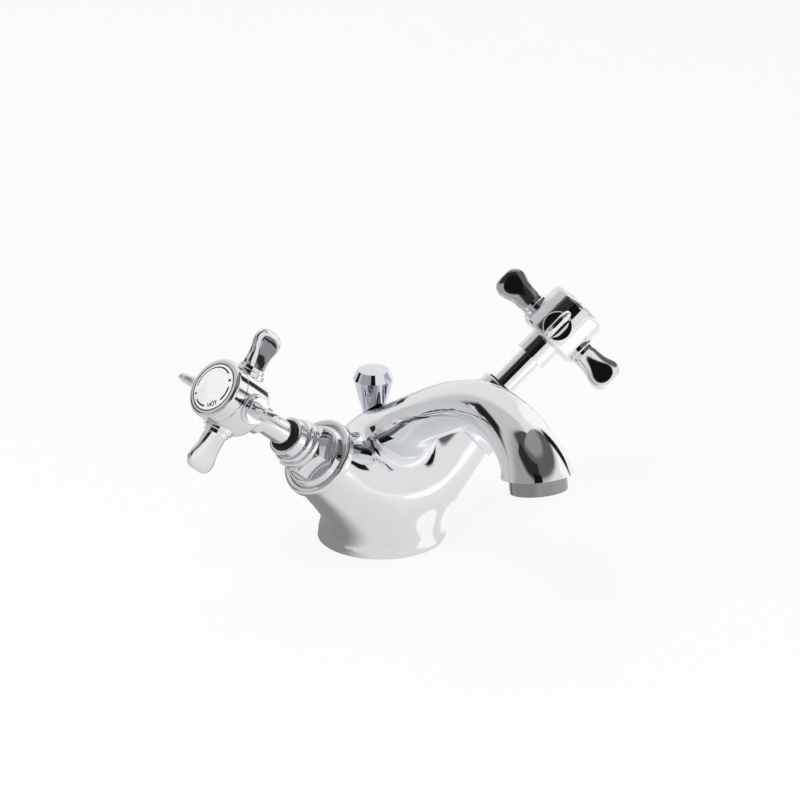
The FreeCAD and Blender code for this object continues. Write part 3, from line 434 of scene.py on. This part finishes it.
floor_material = bpy.data.materials.new("pale_floor")
floor_material.use_nodes = True
floor_tree = floor_material.node_tree
floor_tree.nodes.clear()
floor_output = floor_tree.nodes.new("ShaderNodeOutputMaterial")
floor_paint = floor_tree.nodes.new("ShaderNodeBsdfDiffuse")
floor_paint.inputs["Color"].default_value = FLOOR_COLOUR
floor_glow = floor_tree.nodes.new("ShaderNodeEmission")
floor_path = floor_tree.nodes.new("ShaderNodeLightPath")
floor_share = floor_tree.nodes.new("ShaderNodeMath")
floor_share.operation = "MULTIPLY"
floor_share.inputs[1].default_value = FLOOR_WHITE
floor_mix = floor_tree.nodes.new("ShaderNodeMixShader")
floor_sight = floor_path.outputs["Is Camera Ray"]
for kind in ("Is Glossy Ray", "Is Transmission Ray"):
    either = floor_tree.nodes.new("ShaderNodeMath")
    either.operation = "MAXIMUM"
    floor_tree.links.new(floor_sight, either.inputs[0])
    floor_tree.links.new(floor_path.outputs[kind], either.inputs[1])
    floor_sight = either.outputs["Value"]
floor_tree.links.new(floor_sight, floor_share.inputs[0])

# Painted light in the gloss: the floor is brightest to the right in front, and painted dimmer to the left
# and behind, as if lit from the right in front.
TO_BRIGHT_SIDE = (0.87, -0.5, 0.0)
BRIGHT_SIDE_REACH = 0.14
DIM_SIDE = 0.64
BRIGHT_SIDE = 1.04
floor_spot = floor_tree.nodes.new("ShaderNodeNewGeometry")
floor_fall = floor_tree.nodes.new("ShaderNodeVectorMath")
floor_fall.operation = "DOT_PRODUCT"
floor_fall.inputs[1].default_value = TO_BRIGHT_SIDE
floor_tree.links.new(floor_spot.outputs["Position"], floor_fall.inputs[0])
floor_shade = floor_tree.nodes.new("ShaderNodeMapRange")
floor_shade.inputs["From Min"].default_value = -BRIGHT_SIDE_REACH
floor_shade.inputs["From Max"].default_value = BRIGHT_SIDE_REACH
floor_shade.inputs["To Min"].default_value = DIM_SIDE
floor_shade.inputs["To Max"].default_value = BRIGHT_SIDE
floor_tree.links.new(floor_fall.outputs["Value"], floor_shade.inputs["Value"])


def floor_patch(level, place, core, edge, factor):
    """The floor's level in the gloss, times a factor in a round patch with a soft edge."""
    apart = floor_tree.nodes.new("ShaderNodeVectorMath")
    apart.operation = "DISTANCE"
    apart.inputs[1].default_value = place
    floor_tree.links.new(floor_spot.outputs["Position"], apart.inputs[0])
    fade = floor_tree.nodes.new("ShaderNodeMapRange")
    fade.interpolation_type = "SMOOTHSTEP"
    fade.inputs["From Min"].default_value = core
    fade.inputs["From Max"].default_value = edge
    fade.inputs["To Min"].default_value = factor
    fade.inputs["To Max"].default_value = 1.0
    floor_tree.links.new(apart.outputs["Value"], fade.inputs["Value"])
    product = floor_tree.nodes.new("ShaderNodeMath")
    product.operation = "MULTIPLY"
    floor_tree.links.new(level, product.inputs[0])
    floor_tree.links.new(fade.outputs["Result"], product.inputs[1])
    return product.outputs["Value"]


# Painted light and shade in the floor's gloss, which the chrome reflects: a patch of painted shadow behind
# the foot on the left, two small bright patches by the foot that paint highlights on it, and a wide bright
# one to the right in front.
floor_gloss = floor_shade.outputs["Result"]
floor_gloss = floor_patch(floor_gloss, place=(-0.035, 0.02, 0.0), core=0.028, edge=0.048, factor=0.3)
floor_gloss = floor_patch(floor_gloss, place=(0.022, -0.037, 0.0), core=0.0112, edge=0.0135, factor=1.35)
floor_gloss = floor_patch(floor_gloss, place=(0.036, -0.008, 0.0), core=0.007, edge=0.012, factor=1.3)
floor_gloss = floor_patch(floor_gloss, place=(0.16, -0.18, 0.0), core=0.108, edge=0.12, factor=1.25)
floor_level = floor_tree.nodes.new("ShaderNodeMix")
floor_level.data_type = "FLOAT"
floor_tree.links.new(floor_path.outputs["Is Camera Ray"], floor_level.inputs["Factor"])
floor_tree.links.new(floor_gloss, floor_level.inputs["A"])
floor_level.inputs["B"].default_value = 1.0
floor_tree.links.new(floor_level.outputs["Result"], floor_glow.inputs["Strength"])
floor_tree.links.new(floor_share.outputs["Value"], floor_mix.inputs["Fac"])
floor_tree.links.new(floor_paint.outputs["BSDF"], floor_mix.inputs[1])
floor_tree.links.new(floor_glow.outputs["Emission"], floor_mix.inputs[2])
floor_tree.links.new(floor_mix.outputs["Shader"], floor_output.inputs["Surface"])
floor.data.materials.append(floor_material)

# Camera: bearing, height, distance and lens of the photograph. It looks at a point a little to the
# right of and above the middle of the tap.
AZIMUTH = math.radians(30.5)
ELEVATION = math.radians(22.64)
DISTANCE = 2.0012
SENSOR = 36.0
LENS = 214.8
MIDDLE = Vector((0.0, 0.0, 0.045))
AIM_RIGHT = 0.00784
AIM_UP = 0.01472
back = Vector((-math.sin(AZIMUTH) * math.cos(ELEVATION),
               -math.cos(AZIMUTH) * math.cos(ELEVATION),
               math.sin(ELEVATION)))
right = Vector((math.cos(AZIMUTH), -math.sin(AZIMUTH), 0.0))
up = back.cross(right)
aim = MIDDLE + right * AIM_RIGHT + up * AIM_UP
camera_data = bpy.data.cameras.new("camera")
camera_data.sensor_fit = "HORIZONTAL"
camera_data.sensor_width = SENSOR
camera_data.lens = LENS
camera = bpy.data.objects.new("camera", camera_data)
camera.matrix_world = Matrix((
    (right.x, up.x, back.x, aim.x + DISTANCE * back.x),
    (right.y, up.y, back.y, aim.y + DISTANCE * back.y),
    (right.z, up.z, back.z, aim.z + DISTANCE * back.z),
    (0.0, 0.0, 0.0, 1.0),
))
bpy.context.scene.collection.objects.link(camera)
bpy.context.scene.camera = camera

# World: white to the camera. For light and gloss it is a studio of pale walls with white and dark
# panels, and a dim ceiling toward the front.
world = bpy.data.worlds.new("studio")
bpy.context.scene.world = world
world.use_nodes = True
world_tree = world.node_tree
world_tree.nodes.clear()
world_output = world_tree.nodes.new("ShaderNodeOutputWorld")
world_back = world_tree.nodes.new("ShaderNodeBackground")
world_back.inputs["Color"].default_value = (1.0, 1.0, 1.0, 1.0)
world_tree.links.new(world_back.outputs["Background"], world_output.inputs["Surface"])
world_place = world_tree.nodes.new("ShaderNodeTexCoord")
world_path = world_tree.nodes.new("ShaderNodeLightPath")


def reckon(operation, *values):
    """A maths node on sockets and plain numbers."""
    node = world_tree.nodes.new("ShaderNodeMath")
    node.operation = operation
    for socket, value in zip(node.inputs, values):
        if isinstance(value, (int, float)):
            socket.default_value = value
        else:
            world_tree.links.new(value, socket)
    return node.outputs["Value"]


def ramp(value, start, end):
    """Rises smoothly from 0 at the start to 1 at the end."""
    node = world_tree.nodes.new("ShaderNodeMapRange")
    node.interpolation_type = "SMOOTHSTEP"
    node.inputs["From Min"].default_value = start
    node.inputs["From Max"].default_value = end
    world_tree.links.new(value, node.inputs["Value"])
    return node.outputs["Result"]


way = world_tree.nodes.new("ShaderNodeSeparateXYZ")
world_tree.links.new(world_place.outputs["Generated"], way.inputs["Vector"])
BEARING = reckon("DEGREES", reckon("ARCTAN2", way.outputs["Y"], way.outputs["X"]))
HEIGHT = reckon("DEGREES", reckon("ARCSINE", way.outputs["Z"]))
HALF_TURN = 180.0


def panel(behind, bearing, half_width, low, high, soft, brightness):
    """Sets one part of the surroundings, in degrees of bearing and height, in front of the rest."""
    turn = reckon("SUBTRACT", BEARING, bearing)
    aside = reckon("ABSOLUTE", reckon("WRAP", turn, HALF_TURN, -HALF_TURN))
    within = reckon("SUBTRACT", 1.0, ramp(aside, half_width, half_width + soft))
    above = ramp(HEIGHT, low - soft, low)
    below = reckon("SUBTRACT", 1.0, ramp(HEIGHT, high, high + soft))
    mask = reckon("MULTIPLY", reckon("MULTIPLY", within, above), below)
    layer = world_tree.nodes.new("ShaderNodeMix")
    layer.data_type = "FLOAT"
    world_tree.links.new(mask, layer.inputs["Factor"])
    if isinstance(behind, float):
        layer.inputs["A"].default_value = behind
    else:
        world_tree.links.new(behind, layer.inputs["A"])
    layer.inputs["B"].default_value = brightness
    return layer.outputs["Result"]


WALLS = 0.9
# Grey walls behind and to the left, and two white panels on the right.
studio = panel(WALLS, bearing=138.0, half_width=22.0, low=-20.0, high=74.0, soft=20.0, brightness=0.64)
studio = panel(studio, bearing=-168.0, half_width=24.0, low=-90.0, high=90.0, soft=24.0, brightness=0.38)
studio = panel(studio, bearing=30.0, half_width=10.0, low=-30.0, high=58.0, soft=12.0, brightness=1.12)
studio = panel(studio, bearing=-16.0, half_width=12.0, low=-6.0, high=27.0, soft=5.0, brightness=1.12)
# Dim ceiling toward the front, a little brighter near the top.
studio = panel(studio, bearing=-86.0, half_width=90.0, low=42.0, high=90.0, soft=10.0, brightness=0.13)
studio = panel(studio, bearing=-86.0, half_width=90.0, low=68.0, high=90.0, soft=10.0, brightness=0.33)
# Dark panels on the left, high up.
studio = panel(studio, bearing=172.0, half_width=10.0, low=54.0, high=80.0, soft=12.0, brightness=0.08)
studio = panel(studio, bearing=-152.0, half_width=34.0, low=38.0, high=52.0, soft=5.0, brightness=0.03)
# Small dark panels round the tap.
studio = panel(studio, bearing=7.0, half_width=6.0, low=8.0, high=40.0, soft=4.0, brightness=0.015)
studio = panel(studio, bearing=-42.0, half_width=4.0, low=9.0, high=18.0, soft=3.0, brightness=0.01)
studio = panel(studio, bearing=-122.0, half_width=13.0, low=17.0, high=40.0, soft=4.0, brightness=0.008)
studio = panel(studio, bearing=130.0, half_width=9.0, low=6.0, high=20.0, soft=6.0, brightness=0.02)

seen = world_tree.nodes.new("ShaderNodeMix")
seen.data_type = "FLOAT"
world_tree.links.new(world_path.outputs["Is Camera Ray"], seen.inputs["Factor"])
world_tree.links.new(studio, seen.inputs["A"])
seen.inputs["B"].default_value = 1.0
world_tree.links.new(seen.outputs["Result"], world_back.inputs["Strength"])

# Key light: one large softbox from the left in front, which the gloss doesn't show.
KEY_PLACE = Vector((-1.1, -0.6, 1.6))
KEY_TARGET = Vector((0.0, -0.03, 0.05))
KEY_SIDE = 1.2
KEY_POWER = 24.0
key_lamp = bpy.data.lights.new("key_light", "AREA")
key_lamp.shape = "RECTANGLE"
key_lamp.size = KEY_SIDE
key_lamp.size_y = KEY_SIDE
key_lamp.energy = KEY_POWER
key_light = bpy.data.objects.new("key_light", key_lamp)
key_light.location = KEY_PLACE
key_light.rotation_euler = (KEY_TARGET - KEY_PLACE).to_track_quat("-Z", "Y").to_euler()
key_light.visible_glossy = False
bpy.context.scene.collection.objects.link(key_light)

bpy.context.scene.view_settings.view_transform = "Standard"
